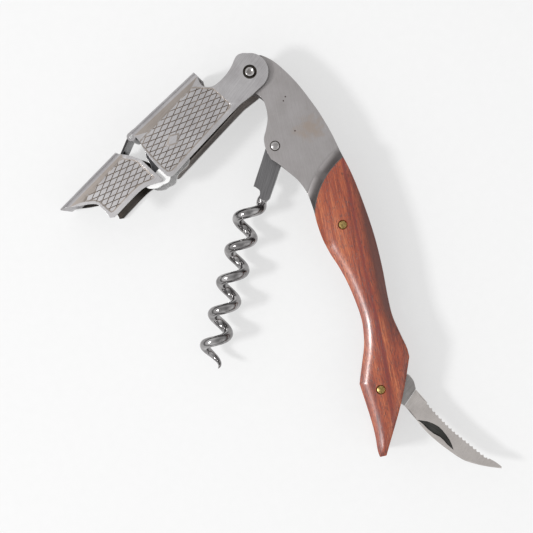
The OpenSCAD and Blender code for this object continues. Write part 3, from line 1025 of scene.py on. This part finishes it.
def edged(node, width):
    """CAD node whose large faces take the first material and whose rounded edges take the second"""
    bm = cad_copy(node)
    faces_before = {tuple(round(c, 2) for c in f.normal) for f in bm.faces if f.calc_area() > 1.5}
    round_edges(bm, width)
    for f in bm.faces:
        kept = tuple(round(c, 2) for c in f.normal) in faces_before
        f.material_index = 0 if kept else 1
    return bm


def claw():
    """Claw with painted shade on its sides and a painted highlight on the lips that stick out past the
    lever
    """
    bm = edged("first_step_claw", 0.09)
    lip_at = AT_LEVER @ Vector((0, LIP_FROM, 0))
    everything = list(bm.verts) + list(bm.edges) + list(bm.faces)
    bmesh.ops.bisect_plane(bm, geom=everything, plane_co=lip_at, plane_no=ACROSS_LEVER)
    # Flat faces on the far side of the line from the lips take the shaded steel, painted shade; the lips
    # keep the bright steel, a painted highlight
    for f in bm.faces:
        if f.material_index == 0 and (f.calc_center_median() - lip_at).dot(ACROSS_LEVER) < 0:
            f.material_index = 2
    return bm


def knee_parts():
    """Claw, knee pin, hinge leaf and its rivets"""
    make("claw_sheet", claw(), "upper_arm",
         [HIGHLIGHT_STEEL, MIRROR_STEEL, SHADED_STEEL], ["first_step_claw"])
    make("knee_rod", crisp("knee_pin", 0.08), "upper_arm", [MIRROR_STEEL],
         ["knee_pin"])
    make("hinge_strap", edged("hinge_leaf", 0.16), "lower_arm",
         [SHADED_STEEL, RIM_STEEL], ["hinge_leaf"])
    make("strap_rivets", crisp("leaf_rivets", 0.15), "lower_arm", [MIRROR_STEEL],
         ["leaf_rivets"])


# ---------------- worm

# The wire in the worm's own frame: a shank along X that winds up into the helix between two angles
WIRE_R = 1.45
HELIX_Y = -2.85
HELIX_X0 = 17.5
HELIX_R = 2.8
WORM_PITCH = 9.3
WORM_TURNS = 5.05
SHANK_X = 11.4
SHANK_Y = 0.4
SHANK_START = 9.6
SHANK_STEP = 0.4
SHANK_RINGS = 10
BLEND_FROM = -144.0
BLEND_TO = 54.0
# The wire is thinner and flatter where it leaves the tang, and runs to a point at the other end
NECK_SHARE = 0.78
NECK_FROM = 13.4
NECK_LENGTH = 1.4
FLAT_SHARE = 0.8
FLAT_FROM = 14.2
FLAT_LENGTH = 2.4
POINT_TURNS = 0.62
POINT_CURVE = 0.62
POINT_SHARE = 0.06
WIRE_SIDES = 24
TURN_RINGS = 48
TANG_HALF = 1.2
TANG_NOSE = [(14.95, -0.86), (15.25, -0.4), (15.35, 0.3), (15.2, 1), (14.9, 1.5)]


def wire_centre(angle):
    """Centre line of the wire: a straight shank that eases into a right-handed helix"""
    into = ease((angle - BLEND_FROM) / (BLEND_TO - BLEND_FROM))
    a = math.radians(angle)
    y = (1 - into) * SHANK_Y + into * (HELIX_Y + HELIX_R * math.cos(a))
    return Vector((HELIX_X0 + WORM_PITCH * angle / 360, y, into * HELIX_R * math.sin(a)))


def worm_wire():
    """Wire swept along its centre line, flattened where it leaves the tang and thinned to a point"""
    last = WORM_TURNS * 360
    count = round((last - BLEND_FROM) / 360 * TURN_RINGS)
    angles = [BLEND_FROM + (last - BLEND_FROM) * i / count for i in range(count + 1)]
    shank = [Vector((SHANK_START + SHANK_STEP * i, SHANK_Y, 0)) for i in range(SHANK_RINGS)]
    centres = shank + [wire_centre(a) for a in angles]
    angles = [angles[0]] * len(shank) + angles
    bm = bmesh.new()
    rings = []
    for i, (centre, angle) in enumerate(zip(centres, angles)):
        ahead = centres[min(i + 1, len(centres) - 1)] - centres[max(i - 1, 0)]
        ahead.normalize()
        a = math.radians(angle)
        out = Vector((0, math.cos(a), math.sin(a)))
        side = (out - ahead * out.dot(ahead)).normalized()
        up = side.cross(ahead)
        to_point = clamp((last - angle) / 360 / POINT_TURNS)
        radius = WIRE_R * max(POINT_SHARE, to_point ** POINT_CURVE)
        radius *= NECK_SHARE + (1 - NECK_SHARE) * ease((centre.x - NECK_FROM) / NECK_LENGTH)
        flat = FLAT_SHARE + (1 - FLAT_SHARE) * ease((centre.x - FLAT_FROM) / FLAT_LENGTH)
        ring = []
        for k in range(WIRE_SIDES):
            t = math.tau * k / WIRE_SIDES
            p = centre + radius * (side * math.cos(t) + up * math.sin(t))
            p.z = centre.z + (p.z - centre.z) * flat
            ring.append(bm.verts.new((p.x, p.y, MID_Z + p.z)))
        rings.append(ring)
    for a, b in zip(rings, rings[1:]):
        for k in range(WIRE_SIDES):
            j = (k + 1) % WIRE_SIDES
            bm.faces.new((a[k], a[j], b[j], b[k]))
    bm.faces.new(list(reversed(rings[0])))
    bm.faces.new(rings[-1])
    bmesh.ops.recalc_face_normals(bm, faces=bm.faces)
    bmesh.ops.transform(bm, matrix=AT_WORM, verts=bm.verts)
    return bm


def with_nose(loop):
    """Tang outline, anticlockwise from its far end, with a rounded nose over the start of the wire"""
    local = to_row(AT_WORM.inverted(), loop[::winding(loop)])
    far = min(range(len(local)), key=lambda i: local[i].x)
    local = local[far:] + local[:far]
    cut = [i for i, p in enumerate(local) if p.x > SHANK_X - 0.4 and abs(p.y - SHANK_Y) < 0.9]
    return to_row(AT_WORM, local[:cut[0]] + TANG_NOSE + local[cut[-1] + 1:])


def worm():
    """Ground tang and bright wire"""
    loop, hole = outlines("worm", MID_Z + TANG_HALF)[:2]
    tang = flat_bar([with_nose(loop), hole], TANG_HALF)
    round_edges(tang, 0.15)
    wire = worm_wire()
    for f in wire.faces:
        f.material_index = 1
    make("worm_screw", joined(tang, wire), "worm_arm", [TANG_NICKEL, WORM_NICKEL],
         ["worm"])


# ---------------- knife

BLADE_HALF = 0.75
KNIFE_TANG_HALF = 1.0
TANG_ROUND = 0.42
# Hollow grind from the cutting edge, chamfered spine, and the flat part next to the tang
EDGE_HALF = 0.09
GRIND_WIDTH = 4.4
GRIND_CURVE = 0.8
CHAMFER = 0.22
CHAMFER_WIDTH = 0.3
FLAT_END = 1.6
FLAT_FADE = 1.2
# Teeth of the serrated edge, along the blade, and the nail nick in its upper face
TEETH_FROM = 10.2
TEETH_TO = 36.4
TOOTH_PITCH = 1.28
TOOTH_DEPTH = 0.5
NICK_DEPTH = 0.42
NICK_SLOPE = 0.16
NICK = [(13.6, -1.96), (15, -1.26), (16.3, -0.66), (18, -0.29), (19.5, -0.16), (21, -0.39),
        (22.6, -0.89), (24.3, -1.56), (25.6, -2.36), (26.7, -3.25), (24.3, -2.96), (23, -2.56),
        (21.6, -2.36), (19.6, -2.56), (17.6, -2.46), (15.6, -2.01)]


def toothed(loop, is_edge):
    """Adds round scallops to the cutting edge, in the knife's own frame"""
    out = []
    ring = closed(loop)
    for a, b in zip(ring, ring[1:]):
        if not (is_edge(a) and is_edge(b)):
            out.append(a)
            continue
        count = max(1, math.ceil((b - a).length / 0.18))
        for i in range(count):
            p = a.lerp(b, i / count)
            phase = (p.x - TEETH_FROM) / TOOTH_PITCH
            scallop = abs(math.sin(math.pi * phase)) ** 0.8
            if TEETH_FROM < p.x < TEETH_TO:
                p = p - Vector((0.1, 1)) * TOOTH_DEPTH * scallop
            out.append(p)
    return out


def blade():
    """Blade in the knife's own frame: hollow ground, serrated, with a nail nick in its top face"""
    loop = to_row(AT_KNIFE.inverted(), outlines("knife", MID_Z + BLADE_HALF)[0])
    by_x = sorted(loop, key=lambda p: p.x)
    start = by_x[0].x
    tip = by_x[-1].x

    def middle(x):
        near = [p.y for p in loop if abs(p.x - x) < 2.5]
        return (min(near) + max(near)) / 2

    def is_edge(p):
        return start + 0.3 < p.x < tip - 0.6 and p.y > middle(p.x)

    outline = toothed(loop, is_edge)
    sides = list(zip(loop, closed(loop)[1:]))
    edge = Nearest([[a, b] for a, b in sides if is_edge(a) and is_edge(b)])
    spine = Nearest([[a, b] for a, b in sides if not (is_edge(a) and is_edge(b))])
    nick = [Vector(p) for p in NICK]
    nick_floor = shrunk(nick, NICK_SLOPE)
    to_nick = Nearest([closed(nick)])

    def half_thickness(p):
        ground = clamp((edge(p) + 0.05) / GRIND_WIDTH)
        chamfer = CHAMFER * (1 - clamp(spine(p) / CHAMFER_WIDTH))
        thin = EDGE_HALF + (BLADE_HALF - 0.1) * ground ** GRIND_CURVE
        thin = max(EDGE_HALF, thin - chamfer)
        unground = ease((start + FLAT_END - p[0]) / FLAT_FADE)
        return thin + (BLADE_HALF - 0.01 - thin) * unground

    def top(p):
        dip = 0.0
        if inside(p, [nick]):
            dip = NICK_DEPTH * clamp(to_nick(p) / NICK_SLOPE)
        return MID_Z + half_thickness(p) - dip

    points = rows_inside(outline, (0.1, 0.3, 0.6), 0.5) + hex_grid(outline, 0.7, 0.8)
    points = [p for p in points if not inside(p, [nick]) and to_nick(p) > 0.2]
    edges = []
    for ring in (nick, nick_floor):
        edges += loop_edges(len(points), len(ring))
        points += ring

    # The nail nick takes near-black steel: painted shade
    def shade(face):
        return 1 if inside(face.calc_center_median().to_2d(), [nick]) else 0

    bm = slab_between([outline], points, edges, top, lambda p: MID_Z - half_thickness(p), shade)
    bmesh.ops.transform(bm, matrix=AT_KNIFE, verts=bm.verts)
    return bm


def knife():
    """Blade and its thicker tang, whose step down to the blade has a painted highlight"""
    tang = flat_bar(outlines("knife", MID_Z + KNIFE_TANG_HALF)[:2], KNIFE_TANG_HALF)
    for f in tang.faces:
        f.material_index = 2
    round_edges(tang, TANG_ROUND)
    ahead = AT_KNIFE.to_3x3() @ Vector((1, 0, 0))
    # The step faces towards the blade take the bright steel: a painted highlight
    for f in tang.faces:
        if f.normal.dot(ahead) > 0.15:
            f.material_index = 3
    make("knife_blade", joined(tang, blade()), "knife_arm",
         [BLADE_STEEL, NICK_SHADE_STEEL, TANG_STEEL, HIGHLIGHT_STEEL], ["knife"])


# ---------------- studio

# Camera place in millimetres and turn in degrees
CAMERA_AT = (5.36, 2.8, 359)
CAMERA_TURN = (-1.0, 2.813, -19.263)
CAMERA_LENS = 84.33
CAMERA_SHIFT = (-0.08, 0.01)
# Brightness of the surroundings from the horizon to overhead, and its factor to either side
SKY_STOPS = ((0.0, 0.25), (0.2, 0.3), (0.34, 0.95), (0.6, 0.92), (0.86, 0.7), (1.0, 0.62))
SKY_LEFT = 1.25
SKY_RIGHT = 0.7
FLOOR_HALF = 1.2
FLOOR_Z = -0.0003


def area_light(name, at, size, energy):
    """Square soft light that looks at the object; places are in metres"""
    data = bpy.data.lights.new(name, "AREA")
    data.size = size
    data.energy = energy
    lamp = new_object(name, data)
    lamp.location = at
    lamp.rotation_euler = (-Vector(at)).to_track_quat("-Z", "Y").to_euler()


def sky():
    """Grey surroundings: dark at the horizon, brightest above it, dimmer overhead and on the right"""
    world = bpy.data.worlds.new("studio")
    scene.world = world
    world.use_nodes = True
    add = world.node_tree.nodes.new
    link = world.node_tree.links.new
    split = add("ShaderNodeSeparateXYZ")
    link(add("ShaderNodeTexCoord").outputs["Generated"], split.inputs["Vector"])
    ramp = add("ShaderNodeValToRGB")
    link(split.outputs["Z"], ramp.inputs["Fac"])
    elements = ramp.color_ramp.elements
    while len(elements) < len(SKY_STOPS):
        elements.new(0.5)
    for element, (position, value) in zip(elements, SKY_STOPS):
        element.position = position
        element.color = (value, value, value, 1)
    sideways = add("ShaderNodeMapRange")
    sideways.inputs["From Min"].default_value = -1
    sideways.inputs["To Min"].default_value = SKY_LEFT
    sideways.inputs["To Max"].default_value = SKY_RIGHT
    link(split.outputs["X"], sideways.inputs["Value"])
    back = world.node_tree.nodes["Background"]
    link(ramp.outputs["Color"], back.inputs["Color"])
    link(sideways.outputs["Result"], back.inputs["Strength"])


def studio():
    """Camera, lights, surroundings and floor"""
    data = bpy.data.cameras.new("camera")
    data.lens = CAMERA_LENS
    data.shift_x, data.shift_y = CAMERA_SHIFT
    camera = new_object("camera", data)
    camera.location = Vector(CAMERA_AT) * MM
    camera.rotation_euler = [math.radians(a) for a in CAMERA_TURN]
    scene.camera = camera
    scene.view_settings.view_transform = "Standard"
    area_light("key", (-0.74, 0.08, 0.84), 0.17, 7.2)
    area_light("fill", (0.5, -0.35, 0.6), 0.6, 0.4)
    sky()
    bm = bmesh.new()
    corners = [(x * FLOOR_HALF, y * FLOOR_HALF) for x, y in ((-1, -1), (1, -1), (1, 1), (-1, 1))]
    bm.faces.new([bm.verts.new((x, y, FLOOR_Z)) for x, y in corners])
    mesh = bpy.data.meshes.new("floor")
    bm.to_mesh(mesh)
    bm.free()
    mesh.materials.append(floor_paper())
    new_object("floor", mesh)


plates()
wood_scales()
brass_pins()
slot_parts()
lever_pivot()
worm_pin()
levers()
knee_parts()
worm()
knife()
studio()
